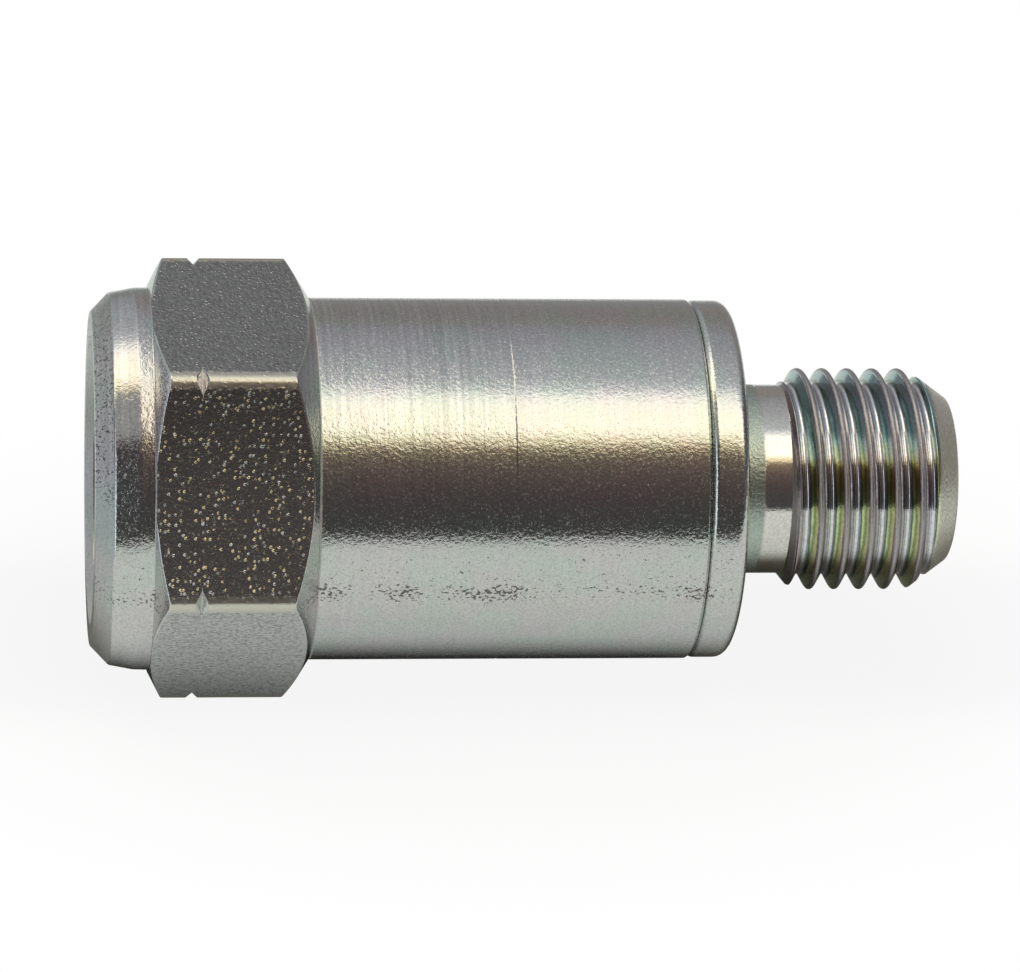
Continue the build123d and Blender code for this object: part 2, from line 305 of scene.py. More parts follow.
def makeBody(size, turnedFinish, flatFinish):
    angles, limit, onFlat = hexSection(
        size["acrossFlats"], size["turnedDiameter"], size["flatWear"], size["arcWear"], size["flatSteps"],
        size["arcHold"])
    corners, radii = bodyOutline(size, limit)
    strips = roundCorners(corners, radii, hold=size["hold"])
    outline = np.concatenate(strips, axis=1)
    columns, count = outline.shape[:2]
    x, r = outline[..., 0], outline[..., 1]
    y, z = r * np.cos(angles)[:, None], r * np.sin(angles)[:, None]
    points = np.stack([x, y, z], axis=-1).reshape(-1, 3) * mm
    c, k = np.meshgrid(np.arange(columns), np.arange(count), indexing="ij")
    nextC, nextK = (c + 1) % columns, (k + 1) % count
    quads = np.stack([c * count + k, c * count + nextK, nextC * count + nextK, nextC * count + k], axis=-1)
    rolled = (np.abs(r - limit[:, None]) < 1e-4) & onFlat[:, None]
    rolled &= (x < size["barrelEndX"]) & (x > size["hexEndX"])
    finish = rolled[c, k] & rolled[c, nextK] & rolled[nextC, nextK] & rolled[nextC, k]
    mesh = bpy.data.meshes.new("bodyShell")
    mesh.from_pydata(points.tolist(), [], quads.reshape(-1, 4).tolist())
    mesh.materials.append(turnedFinish)
    mesh.materials.append(flatFinish)
    mesh.polygons.foreach_set("material_index", finish.astype(np.int32).ravel())
    tidyMesh(mesh)
    return addPiece("body_shell", mesh, "valve", "valve_body")


# inlet fitting: flange, neck and threaded stud, spun from its outline by geometry nodes

fittingSizes = {
    "flangeX": bodySizes["seamX"], "flangeDiameter": 17.85, "shoulderRound": 0.6, "seamRound": 0.34,
    "neckDiameter": 9.45, "neckLength": 2.75, "neckFillet": 0.35,
    "studLength": 11.2, "studEndDiameter": 8.2, "endRound": 0.25,
    "bore": 5.0, "boreChamfer": 0.35, "threadTo": 10.5,
    "spigotDiameter": 13.9, "spigotX": -6.4, "spigotChamfer": 0.5,
    "seatPocket": 8.8, "seatPocketX": -4.4, "glandX": bodySizes["glandX"], "grooveDiameter": 12.0,
    "fineRound": 0.03, "boreRound": 0.05, "neckHolds": (0.2, 0.02), "turnedTo": 0.03,
    "rowsOnCrest": 4, "rowsOnFlank": 8, "rowsInRoot": 5,
    "rootSpread": 1.6, "crestSpread": 1.5, "rowsPast": 0.1,
}
threadSizes = {
    "Segments": 240, "Pitch": 1.27, "Crest Width": 0.16, "Depth": 0.78, "Major Radius": 5.555,
    "Half Angle": 30.0, "First Groove": 0.3425, "Runout Angle": 50.0, "End Angle": 36.0,
    "Root Blend": 0.2, "Crest Blend": 0.17, "Edge Blend": 0.03,
    "Start": fittingSizes["neckLength"], "Neck Radius": fittingSizes["neckDiameter"] / 2,
    "End": fittingSizes["threadTo"], "End Radius": fittingSizes["studEndDiameter"] / 2,
    "Stud Length": fittingSizes["studLength"],
}


def threadTree(sizes):
    tree, given, output = geometryTree("threadedSpin", sizes)

    def do(operation, *values):
        return calc(tree, operation, *values)

    def tangent(degrees):
        return do("TANGENT", do("RADIANS", degrees))

    # a row of the grid for each point of the outline and a column for each step round
    counted = addNode(tree, "GeometryNodeAttributeDomainSize", {"Geometry": given["Geometry"]})
    columns = do("ADD", given["Segments"], 1.0)
    grid = addNode(tree, "GeometryNodeMeshGrid", {
        "Vertices X": counted.outputs["Point Count"], "Vertices Y": columns})
    index = addNode(tree, "GeometryNodeInputIndex").outputs[0]
    row = do("FLOOR", do("DIVIDE", do("ADD", index, 0.5), columns))
    column = do("SUBTRACT", index, do("MULTIPLY", row, columns))
    turn = do("DIVIDE", column, given["Segments"])

    def sample(kind, value):
        node = addNode(tree, "GeometryNodeSampleIndex", data_type=kind)
        plug(tree, node.inputs["Geometry"], given["Geometry"])
        plug(tree, node.inputs["Value"], value)
        plug(tree, node.inputs["Index"], row)
        return node.outputs[0]

    place = parts(tree, sample("FLOAT_VECTOR", addNode(tree, "GeometryNodeInputPosition").outputs[0]))
    shift = sample("FLOAT", addNode(tree, "GeometryNodeInputNamedAttribute", {"Name": "shift"}).outputs[0])
    advance = do("MULTIPLY", turn, given["Pitch"])
    slid = do("MINIMUM", do("MAXIMUM", do("ADD", place["X"], advance), given["Start"]), given["End"])
    plain = do("SUBTRACT", 1.0, shift)
    x = do("ADD", do("MULTIPLY", place["X"], plain), do("MULTIPLY", slid, shift))

    # distance from the middle of the nearest groove, then the rounded V profile
    half = do("MULTIPLY", given["Pitch"], 0.5)
    groove = do("SUBTRACT", do("SUBTRACT", x, advance), given["First Groove"])
    groove = do("WRAP", groove, half, do("MULTIPLY", half, -1.0))
    slope = tangent(given["Half Angle"])
    rootHalf = do("MULTIPLY", do("SUBTRACT", given["Pitch"], given["Crest Width"]), 0.5)
    rootHalf = do("SUBTRACT", rootHalf, do("MULTIPLY", given["Depth"], slope))
    rise = do("DIVIDE", do("SUBTRACT", do("ABSOLUTE", groove), rootHalf), slope)
    rise = do("SMOOTH_MAX", rise, 0.0, given["Root Blend"])
    profile = do("ADD", do("SUBTRACT", given["Major Radius"], given["Depth"]), rise)
    profile = do("SMOOTH_MIN", profile, given["Major Radius"], given["Crest Blend"])

    # the thread runs out at the neck and is cut off by the end chamfer
    runout = do("MULTIPLY", do("SUBTRACT", x, given["Start"]), tangent(given["Runout Angle"]))
    chamfer = do("MULTIPLY", do("SUBTRACT", given["Stud Length"], x), tangent(given["End Angle"]))
    envelope = do("MINIMUM", do("ADD", given["Neck Radius"], runout), do("ADD", given["End Radius"], chamfer))
    threaded = do("SMOOTH_MIN", profile, envelope, given["Edge Blend"])
    radius = do("ADD", do("MULTIPLY", place["Z"], plain), do("MULTIPLY", threaded, shift))
    angle = do("MULTIPLY", turn, 2 * math.pi)
    spot = addNode(tree, "ShaderNodeCombineXYZ", {
        "X": x, "Y": do("MULTIPLY", radius, do("COSINE", angle)),
        "Z": do("MULTIPLY", radius, do("SINE", angle))})
    result = addNode(tree, "GeometryNodeSetPosition", {
        "Geometry": grid.outputs["Mesh"], "Position": spot.outputs[0]}).outputs[0]

    # how deep in the groove and on which side of it, for the colours of the plating
    cycle = do("MULTIPLY", do("DIVIDE", groove, given["Pitch"]), 2 * math.pi)
    marks = {"grooveSide": do("MULTIPLY", do("SINE", cycle), shift),
             "grooveDeep": do("MULTIPLY", do("COSINE", cycle), shift), "threaded": shift}
    for name, value in marks.items():
        result = addNode(tree, "GeometryNodeStoreNamedAttribute", {
            "Geometry": result, "Name": name, "Value": value}).outputs[0]
    scaled = addNode(tree, "GeometryNodeTransform", {"Geometry": result, "Scale": (mm, mm, mm)})
    closeTree(tree, output, scaled.outputs[0], given["Material"])
    return tree


def threadRows(size, thread):
    # stations along one pitch, closer where the thread turns, repeated past both ends of the thread
    pitch, crest = thread["Pitch"], thread["Crest Width"]
    slope = math.tan(math.radians(thread["Half Angle"]))
    rootHalf = ((pitch - crest) / 2 - thread["Depth"] * slope) * size["rootSpread"]
    crestHalf = crest / 2 * size["crestSpread"]
    root = np.linspace(-rootHalf, rootHalf, size["rowsInRoot"] + 2)
    flank = np.linspace(rootHalf, pitch / 2 - crestHalf, size["rowsOnFlank"] + 1)[1:]
    top = np.linspace(pitch / 2 - crestHalf, pitch / 2 + crestHalf, size["rowsOnCrest"] + 3)[1:-1]
    onePitch = np.concatenate([root, flank, top, pitch - flank[::-1]])
    onePitch = np.sort(np.unique(np.round(onePitch % pitch, 6)))
    first = math.floor((thread["Start"] - 2 * pitch - thread["First Groove"]) / pitch)
    last = math.ceil((thread["End"] - thread["First Groove"]) / pitch) + 1
    rows = np.concatenate([thread["First Groove"] + k * pitch + onePitch for k in range(first, last)])
    past = size["rowsPast"]
    return rows[(rows > thread["Start"] - (pitch + past)) & (rows < thread["End"] + past)]


def makeFitting(size, thread, finish, flangeFinish):
    flangeX, flange, groove = size["flangeX"], size["flangeDiameter"] / 2, size["grooveDiameter"] / 2
    neckTo, neck, bore = size["neckLength"], size["neckDiameter"] / 2, size["bore"] / 2
    spigotX, spigot, chamfer = size["spigotX"], size["spigotDiameter"] / 2, size["spigotChamfer"]
    end, endRadius, boreChamfer = size["studLength"], size["studEndDiameter"] / 2, size["boreChamfer"]
    pocketX, pocket, glandX = size["seatPocketX"], size["seatPocket"] / 2, size["glandX"]
    chamferTop = endRadius + (end - size["threadTo"]) * math.tan(math.radians(thread["End Angle"]))
    fine, boreRound = size["fineRound"], size["boreRound"]
    firstHold, lastHold = size["neckHolds"]
    corners = [
        (flangeX, groove, fine),
        (flangeX, flange, size["seamRound"]),
        (0, flange, size["shoulderRound"]),
        (0, neck, size["neckFillet"]),
        (neckTo - firstHold, neck, 0),
        (neckTo - lastHold, neck, 0),
        (size["threadTo"], chamferTop, 0),
        (end, endRadius, size["endRound"]),
        (end, bore + boreChamfer, boreRound),
        (end - boreChamfer, bore, boreRound),
        (pocketX, bore, fine),
        (pocketX, pocket, fine),
        (spigotX, pocket, fine),
        (spigotX, spigot - chamfer, fine),
        (spigotX + chamfer, spigot, fine),
        (glandX, spigot, fine),
        (glandX, groove, fine),
    ]
    radii = [c[2] for c in corners]
    strips = roundCorners(np.array([[c[:2] for c in corners]], float), radii, steps=6)
    rows = threadRows(size, thread)
    afterNeck = 6  # the thread's rows go in after this many corners
    before = np.concatenate(strips[:afterNeck], axis=1)[0]
    after = np.concatenate(strips[afterNeck:], axis=1)[0]
    between = np.stack([rows, np.full(len(rows), neck)], axis=1)
    line = np.concatenate([before, between, after, before[:1]])
    shift = np.zeros(len(line), np.float32)
    shift[len(before):len(before) + len(rows)] = 1
    seed = bpy.data.meshes.new("fittingOutline")
    seed.from_pydata([(x, 0, r) for x, r in line], [], [])
    seed.attributes.new("shift", "FLOAT", "POINT").data.foreach_set("value", shift)
    mesh = runTree("fittingShell", seed, threadTree(thread), thread, finish)
    tidyMesh(mesh)
    mesh.materials.clear()
    mesh.materials.append(finish)
    mesh.materials.append(flangeFinish)
    for face in mesh.polygons:
        face.material_index = int(face.center.x < size["turnedTo"] * mm)
    return addPiece("fitting_shell", mesh, "valve", "inlet_fitting")


# main spring, a coil by geometry nodes with its ends ground flat; it is two lengths that meet in the middle,
# because the adjusting screw moves one end and the poppet the other

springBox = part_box("main_spring")
springSizes = {
    "Wire Radius": 0.75, "Coil Radius": 4.45, "Points per Turn": 48, "Wire Points": 20,
    "Low End": springBox[0].x / mm, "High End": springBox[1].x / mm,
}
springTurns = {"cap": 3.0, "poppet": 3.25}


def springTree(sizes):
    tree, given, output = geometryTree("coilSpring", sizes)
    coil = addNode(tree, "GeometryNodeCurveSpiral", {
        "Resolution": given["Points per Turn"], "Rotations": given["Turns"], "Height": given["Height"],
        "Start Radius": given["Coil Radius"], "End Radius": given["Coil Radius"]})
    offset = addNode(tree, "ShaderNodeCombineXYZ", {"X": given["Coil Start"]})
    laid = addNode(tree, "GeometryNodeTransform", {
        "Geometry": coil.outputs[0], "Rotation": (0, math.pi / 2, 0), "Translation": offset.outputs[0]})
    wire = addNode(tree, "GeometryNodeCurvePrimitiveCircle", {
        "Resolution": given["Wire Points"], "Radius": given["Wire Radius"]})
    tube = addNode(tree, "GeometryNodeCurveToMesh", {
        "Curve": laid.outputs[0], "Profile Curve": wire.outputs[0], "Fill Caps": True})
    place = parts(tree, addNode(tree, "GeometryNodeInputPosition").outputs[0])
    ground = calc(tree, "MINIMUM", calc(tree, "MAXIMUM", place["X"], given["Low End"]), given["High End"])
    spot = addNode(tree, "ShaderNodeCombineXYZ", {"X": ground, "Y": place["Y"], "Z": place["Z"]})
    flat = addNode(tree, "GeometryNodeSetPosition", {
        "Geometry": tube.outputs[0], "Position": spot.outputs[0]})
    scaled = addNode(tree, "GeometryNodeTransform", {"Geometry": flat.outputs[0], "Scale": (mm, mm, mm)})
    closeTree(tree, output, scaled.outputs[0], given["Material"])
    return tree


def makeSpring(sizes, turns, finish):
    low = sizes["Low End"] - sizes["Wire Radius"]
    pitch = (sizes["High End"] + sizes["Wire Radius"] - low) / (turns["cap"] + turns["poppet"])
    middle = low + pitch * turns["cap"]
    coils = []
    for end, coilStart, body in (("cap", low, None), ("poppet", middle, "valve")):
        coil = dict(sizes)
        coil.update({"Turns": turns[end], "Coil Start": coilStart, "Height": pitch * turns[end]})
        seed = bpy.data.meshes.new("springSeed")
        mesh = runTree("springCoil", seed, springTree(coil), coil, finish)
        tidyMesh(mesh)
        coils.append(addPiece("spring_coil_" + end, mesh, body, "main_spring"))
    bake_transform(coils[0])
    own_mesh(coils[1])
    return coils


# finishes, on object coordinates in millimetres; a pattern is given by its scale, detail and roughness, and a
# range by where it starts and ends and its values there, which are 0 and 1 if left out

def newFinish(name):
    finish = bpy.data.materials.new(name)
    finish.use_nodes = True
    tree = finish.node_tree
    place = addNode(tree, "ShaderNodeTexCoord").outputs["Object"]
    scale = addNode(tree, "ShaderNodeVectorMath", {"Vector": place, "Scale": 1 / mm}, operation="SCALE")
    return finish, tree, scale.outputs[0]


def closeFinish(tree, colour, roughness, normal, metallic=1.0):
    inputs = tree.nodes["Principled BSDF"].inputs
    plug(tree, inputs["Base Color"], colour)
    plug(tree, inputs["Roughness"], roughness)
    plug(tree, inputs["Normal"], normal)
    plug(tree, inputs["Metallic"], metallic)


def stretch(tree, place, factors):
    return addNode(tree, "ShaderNodeVectorMath", {0: place, 1: factors}, operation="MULTIPLY").outputs[0]


def noise(tree, place, scale, detail, roughness):
    node = addNode(tree, "ShaderNodeTexNoise", {
        "Vector": place, "Scale": scale, "Detail": detail, "Roughness": roughness})
    return node.outputs["Fac"]


def ramp(tree, value, stops):
    node = addNode(tree, "ShaderNodeValToRGB", {"Fac": value})
    while len(node.color_ramp.elements) < len(stops):
        node.color_ramp.elements.new(1.0)
    for element, (position, colour) in zip(node.color_ramp.elements, stops):
        element.position = position
        element.color = (*colour, 1)
    return node.outputs["Color"]


def rangeOf(tree, value, low, high, toLow=0.0, toHigh=1.0):
    node = addNode(tree, "ShaderNodeMapRange", {
        "Value": value, "From Min": low, "From Max": high, "To Min": toLow, "To Max": toHigh},
        interpolation_type="SMOOTHSTEP")
    return node.outputs["Result"]


def blend(tree, factor, a, b):
    node = addNode(tree, "ShaderNodeMix", data_type="RGBA")
    plug(tree, node.inputs["Factor"], factor)
    plug(tree, node.inputs[6], a if isinstance(a, bpy.types.NodeSocket) else (*a, 1))
    plug(tree, node.inputs[7], b if isinstance(b, bpy.types.NodeSocket) else (*b, 1))
    return node.outputs[2]


def bump(tree, height, depth, normal=None):
    # depth is the full height of the pattern, in millimetres
    node = addNode(tree, "ShaderNodeBump", {"Height": height, "Strength": 1.0, "Distance": depth * mm})
    if normal is not None:
        plug(tree, node.inputs["Normal"], normal)
    return node.outputs["Normal"]


def shade(tree, colour, factor):
    return addNode(tree, "ShaderNodeVectorMath", {0: colour, "Scale": factor}, operation="SCALE").outputs[0]


turnedZinc = {
    "base": (0.60, 0.605, 0.585), "green": (0.578, 0.613, 0.573), "pink": (0.622, 0.595, 0.592),
    "tint": (0.42, 2.0, 0.5), "tintStops": (0.38, 0.5, 0.62),
    "rings": (6.0, 4.0, 0.75), "ringStretch": (1.0, 0.01, 0.01), "ringDepth": 0.002,
    "ringTone": (0.3, 0.7, 0.84, 1.14), "ringsPastLine": (1.5, -3.0, 0.35, 1.0),
    "ringsAbove": (3.5, 6.5, 0.15, 1.0),
    "wave": (1.7, 2.0, 0.5), "waveDepth": 0.006, "grain": (5.8, 2.0, 0.6), "grainDepth": 0.0135,
    "speckle": (8.5, 2.0, 0.7), "speckleTone": (0.25, 0.75, 0.84, 1.16),
    "roughness": (0.3, 0.7, 0.06, 0.15), "speckRoughness": (0.54, 0.68, 0.0, 0.22),
    "strokes": (1.0, 2.0, 0.6), "strokeStretch": (5.0, 7.4, 7.4),
    "pitEdge": (0.76, 0.82), "pitDepth": 0.012, "pitColour": (0.07, 0.065, 0.06), "pitCover": 0.85,
    "frontFrom": (-5.0, -7.0), "fullPitsWithin": 0.3,
    "beltHeight": -0.7, "beltHalf": 0.8, "beltPits": 0.15, "beltOnCollar": 0.5, "collarFade": 0.1,
    "patches": (1.0, 1.0, 0.5), "patchStretch": (0.28, 0.12, 0.12), "patchEdge": (0.42, 0.6, 0.3, 1.0),
    "scatterHeight": 0.2, "scatterHalf": 2.6, "scatterPits": 0.1,
    "rimFrom": (-30.77, -30.82), "rimPitsAbove": (2.5, 4.5), "rimPits": 0.2, "rimDull": 0.6,
    "corner": (0.09, 0.045), "dullRoughness": 0.45,
}


def turnedPits(tree, place, spot, look):
    # a belt of pits and short scratches low on the front, a few more around it and on the rim at the outlet
    strokes = noise(tree, stretch(tree, place, look["strokeStretch"]), *look["strokes"])
    patches = noise(tree, stretch(tree, place, look["patchStretch"]), *look["patches"])
    front = rangeOf(tree, spot["Y"], *look["frontFrom"])
    hexEnd = bodySizes["hexEndX"]

    def near(height, half):
        off = calc(tree, "ABSOLUTE", calc(tree, "SUBTRACT", spot["Z"], height))
        return times(tree, rangeOf(tree, off, half, half * look["fullPitsWithin"]), front)

    pastCollar = rangeOf(tree, spot["X"], hexEnd - look["collarFade"], hexEnd, look["beltOnCollar"], 1.0)
    belt = near(look["beltHeight"], look["beltHalf"])
    belt = times(tree, belt, rangeOf(tree, patches, *look["patchEdge"]), pastCollar)
    scatter = times(tree, near(look["scatterHeight"], look["scatterHalf"]), look["scatterPits"])
    rim = rangeOf(tree, spot["Z"], *look["rimPitsAbove"])
    rim = times(tree, rim, rangeOf(tree, spot["X"], *look["rimFrom"]))
    likely = calc(tree, "MULTIPLY_ADD", belt, look["beltPits"], scatter)
    likely = calc(tree, "MULTIPLY_ADD", rim, look["rimPits"], likely)
    return rangeOf(tree, calc(tree, "ADD", strokes, likely), *look["pitEdge"])


def turnedFinish(look):
    finish, tree, place = newFinish("zincTurned")
    spot = parts(tree, place)
    tint = noise(tree, place, *look["tint"])
    colour = ramp(tree, tint, list(zip(look["tintStops"], (look["green"], look["base"], look["pink"]))))
    # rings left by the turning tool, stronger between the hexagon and the tool line
    rings = noise(tree, stretch(tree, place, look["ringStretch"]), *look["rings"])
    start, end, faint, full = look["ringsPastLine"]
    line = bodySizes["toolLineX"]
    amount = times(tree, rangeOf(tree, spot["X"], line + start, line + end, faint, full),
                   rangeOf(tree, spot["Z"], *look["ringsAbove"]))
    contrast = calc(tree, "SUBTRACT", rangeOf(tree, rings, *look["ringTone"]), 1.0)
    streaks = calc(tree, "MULTIPLY_ADD", contrast, amount, 1.0)
    speckle = noise(tree, place, *look["speckle"])
    colour = shade(tree, colour, times(tree, streaks, rangeOf(tree, speckle, *look["speckleTone"])))
    grain = noise(tree, place, *look["grain"])
    pits = turnedPits(tree, place, spot, look)
    colour = blend(tree, times(tree, pits, look["pitCover"]), colour, look["pitColour"])
    normal = bump(tree, times(tree, rings, amount), look["ringDepth"])
    normal = bump(tree, noise(tree, place, *look["wave"]), look["waveDepth"], normal)
    normal = bump(tree, grain, look["grainDepth"], normal)
    normal = bump(tree, calc(tree, "SUBTRACT", 1.0, pits), look["pitDepth"], normal)
    # duller in the corner beside the hexagon and on the chamfer at the outlet
    corner = calc(tree, "ABSOLUTE", calc(tree, "SUBTRACT", spot["X"], bodySizes["barrelEndX"]))
    dull = calc(tree, "MAXIMUM", rangeOf(tree, corner, *look["corner"]),
                rangeOf(tree, spot["X"], *look["rimFrom"], 0.0, look["rimDull"]))
    plain = calc(tree, "ADD", rangeOf(tree, grain, *look["roughness"]),
                 rangeOf(tree, speckle, *look["speckRoughness"]))
    roughness = calc(tree, "MULTIPLY_ADD", dull, look["dullRoughness"], plain)
    closeFinish(tree, colour, roughness, normal)
    return finish


rolledZinc = {
    "base": (0.54, 0.54, 0.53), "dark": (0.36, 0.35, 0.34), "darkGrain": (0.32, 0.62),
    "grain": (5.6, 2.0, 0.65), "grainDepth": 0.042, "roughness": (0.3, 0.6, 0.3, 0.18),
    "worn": (0.66, 0.63, 0.55), "wornFrom": (10.70, 10.80), "wornRagged": 0.25, "ragged": (2.6, 3.0, 0.6),
    "wornSmooth": 0.7, "wornDull": 0.1,
    "dotScale": 4.2, "dotDepth": 0.028, "dotEdge": (0.4, 0.0), "dotKept": (0.15, 0.35),
    "dotsAbove": (-4.0, -2.0, 0.25, 1.0),
    "gold": (0.66, 0.55, 0.34), "goldDots": (0.02, 0.2), "goldKept": (0.4, 0.5),
    "goldBelow": (9.4, 9.0), "goldAbove": (-0.4, 0.2),
    # a painted light on the lower flats and a painted shade on the top flat, set by height
    "paintedLightLow": (-3.0, 3.0, 1.2, 1.0), "paintedShadeHigh": (3.0, 9.4, 0.0, -0.28),
}


def rolledFinish(look):
    # the hexagon's flats keep the pimpled skin of the bar under the plating, worn smooth along the corners
    finish, tree, place = newFinish("zincRolled")
    spot = parts(tree, place)
    squares = [times(tree, spot[k], spot[k]) for k in ("Y", "Z")]
    reach = calc(tree, "SQRT", calc(tree, "ADD", *squares))
    ragged = noise(tree, place, *look["ragged"])
    ragged = calc(tree, "MULTIPLY_ADD", ragged, look["wornRagged"], reach)
    ragged = calc(tree, "SUBTRACT", ragged, look["wornRagged"] / 2)
    worn = rangeOf(tree, ragged, *look["wornFrom"])
    rough = calc(tree, "MULTIPLY_ADD", worn, -look["wornSmooth"], 1.0)
    cells = addNode(tree, "ShaderNodeTexVoronoi", {"Vector": place, "Scale": look["dotScale"]}).outputs
    kind = parts(tree, cells["Color"])
    kept = rangeOf(tree, kind["X"], *look["dotKept"])
    kept = times(tree, kept, rangeOf(tree, spot["Z"], *look["dotsAbove"]))
    dots = times(tree, rangeOf(tree, cells["Distance"], *look["dotEdge"]), kept)
    grain = noise(tree, place, *look["grain"])
    normal = bump(tree, times(tree, dots, rough), look["dotDepth"])
    normal = bump(tree, times(tree, grain, rough), look["grainDepth"], normal)
    colour = blend(tree, rangeOf(tree, grain, *look["darkGrain"]), look["dark"], look["base"])
    golden = times(tree, rangeOf(tree, dots, *look["goldDots"]), rangeOf(tree, kind["Y"], *look["goldKept"]),
                   rangeOf(tree, spot["Z"], *look["goldBelow"]), rangeOf(tree, spot["Z"], *look["goldAbove"]))
    colour = blend(tree, golden, colour, look["gold"])
    # painted light on the flats that face down and painted shade on the one on top
    tone = rangeOf(tree, spot["Z"], *look["paintedLightLow"])
    tone = calc(tree, "ADD", tone, rangeOf(tree, spot["Z"], *look["paintedShadeHigh"]))
    colour = blend(tree, worn, shade(tree, colour, tone), look["worn"])
    skin = rangeOf(tree, grain, *look["roughness"])
    closeFinish(tree, colour, calc(tree, "MULTIPLY_ADD", worn, look["wornDull"], skin), normal)
    return finish


studZinc = {
    "crest": (0.46, 0.43, 0.44), "mauve": (0.52, 0.44, 0.47), "silver": (0.76, 0.74, 0.79),
    "line": (0.16, 0.24, 0.17), "teal": (0.34, 0.48, 0.49), "olive": (0.52, 0.47, 0.20),
    # leaf, low on the threads, is a painted light over the plating's yellow-green tint
    "leaf": (0.88, 0.97, 0.50), "tealAbove": (3.0, 4.3), "paintedLightBelow": (3.0, 1.2),
    "across": (
        (0.08, "crest"), (0.14, "mauve"), (0.28, "mauve"), (0.32, "line"), (0.38, "silver"), (0.58, "silver"),
        (0.63, "line"), (0.66, "line")),
    "flankFrom": (0.65, 0.7), "crestFrom": (0.86, 0.9),
    "acrossDrift": (0.7, 2.0, 0.5), "acrossReach": 0.1, "heightDrift": (0.5, 2.0, 0.5), "heightReach": 1.6,
    "neckBand": (0.50, 0.56, 0.51), "neckWarm": (0.74, 0.71, 0.67), "bandEnd": (1.3, 1.5),
    "endGrey": (0.80, 0.77, 0.69), "endFrom": (9.9, 10.3), "dullCrest": (-0.66, -0.84),
    "roughness": (0.0, 1.0, 0.11, 0.36),
    "speckle": (7.5, 2.0, 0.7), "speckleTone": (0.25, 0.75, 0.85, 1.12),
    "grain": (7.5, 2.0, 0.6), "grainDepth": 0.004, "dullGrainDepth": 0.03,
    "rings": (7.0, 3.0, 0.6), "ringStretch": (1.0, 0.01, 0.01), "ringDepth": 0.0015,
}


def threadColour(tree, place, height, look):
    # the plating's colours follow the groove: how far across it and, on one flank, how high; low down that
    # flank the pale leaf colour is a painted light over the plating's yellow-green tint
    side, deep = mark(tree, "grooveSide"), mark(tree, "grooveDeep")
    phase = calc(tree, "DIVIDE", calc(tree, "ARCTAN2", side, deep), 2 * math.pi)
    drift = noise(tree, place, *look["acrossDrift"])
    drift = calc(tree, "MULTIPLY_ADD", drift, look["acrossReach"], -look["acrossReach"] / 2)
    phase = calc(tree, "ADD", calc(tree, "ADD", phase, 0.5), drift)
    flank = blend(tree, rangeOf(tree, height, *look["tealAbove"]), look["olive"], look["teal"])
    flank = blend(tree, rangeOf(tree, height, *look["paintedLightBelow"]), flank, look["leaf"])
    colour = ramp(tree, phase, [(position, look[name]) for position, name in look["across"]])
    colour = blend(tree, rangeOf(tree, phase, *look["flankFrom"]), colour, flank)
    return blend(tree, rangeOf(tree, phase, *look["crestFrom"]), colour, look["crest"])


def studFinish(look):
    finish, tree, place = newFinish("zincStud")
    spot = parts(tree, place)
    threaded = mark(tree, "threaded")
    drift = noise(tree, place, *look["heightDrift"])
    drift = calc(tree, "MULTIPLY_ADD", drift, look["heightReach"], -look["heightReach"] / 2)
    grooves = threadColour(tree, place, calc(tree, "ADD", spot["Z"], drift), look)
    pastBand = rangeOf(tree, spot["X"], *look["bandEnd"])
    neck = blend(tree, pastBand, look["neckBand"], look["neckWarm"])
    atEnd = rangeOf(tree, spot["X"], *look["endFrom"])
    colour = blend(tree, atEnd, blend(tree, threaded, neck, grooves), look["endGrey"])
    colour = shade(tree, colour, rangeOf(tree, noise(tree, place, *look["speckle"]), *look["speckleTone"]))
    # rough on the crests, on the band beside the shoulder and on the end chamfer
    onCrest = times(tree, rangeOf(tree, mark(tree, "grooveDeep"), *look["dullCrest"]), threaded)
    onBand = times(tree, calc(tree, "SUBTRACT", 1.0, pastBand), calc(tree, "SUBTRACT", 1.0, threaded))
    dull = calc(tree, "MAXIMUM", onCrest, calc(tree, "MAXIMUM", atEnd, onBand))
    grain = noise(tree, place, *look["grain"])
    rings = noise(tree, stretch(tree, place, look["ringStretch"]), *look["rings"])
    normal = bump(tree, rings, look["ringDepth"])
    normal = bump(tree, grain, look["grainDepth"], normal)
    normal = bump(tree, times(tree, grain, dull), look["dullGrainDepth"], normal)
    closeFinish(tree, colour, rangeOf(tree, dull, *look["roughness"]), normal)
    return finish


insideLooks = {
    "zinc_steel": {"dark": (0.50, 0.50, 0.48), "light": (0.62, 0.61, 0.58), "metal": 1.0, "rough": 0.26},
    "seat_steel": {"dark": (0.50, 0.50, 0.50), "light": (0.62, 0.62, 0.61), "metal": 1.0, "rough": 0.2},
    "poppet_brass": {"dark": (0.60, 0.44, 0.20), "light": (0.76, 0.60, 0.33), "metal": 1.0, "rough": 0.24},
    "spring_steel": {"dark": (0.30, 0.30, 0.31), "light": (0.46, 0.46, 0.47), "metal": 1.0, "rough": 0.3},
    "seal_rubber": {"dark": (0.018, 0.018, 0.018), "light": (0.04, 0.04, 0.04), "metal": 0.0, "rough": 0.55},
    "pellet_nylon": {"dark": (0.70, 0.67, 0.58), "light": (0.84, 0.82, 0.75), "metal": 0.0, "rough": 0.42},
}
insideGrain = {
    "rings": (9.0, 3.0, 0.6), "ringStretch": (1.0, 0.03, 0.03), "grain": (4.0, 3.0, 0.6), "depth": 0.002,
    "toneRange": (0.35, 0.65), "roughRange": (0.3, 0.7), "roughSpread": (0.8, 1.25),
}


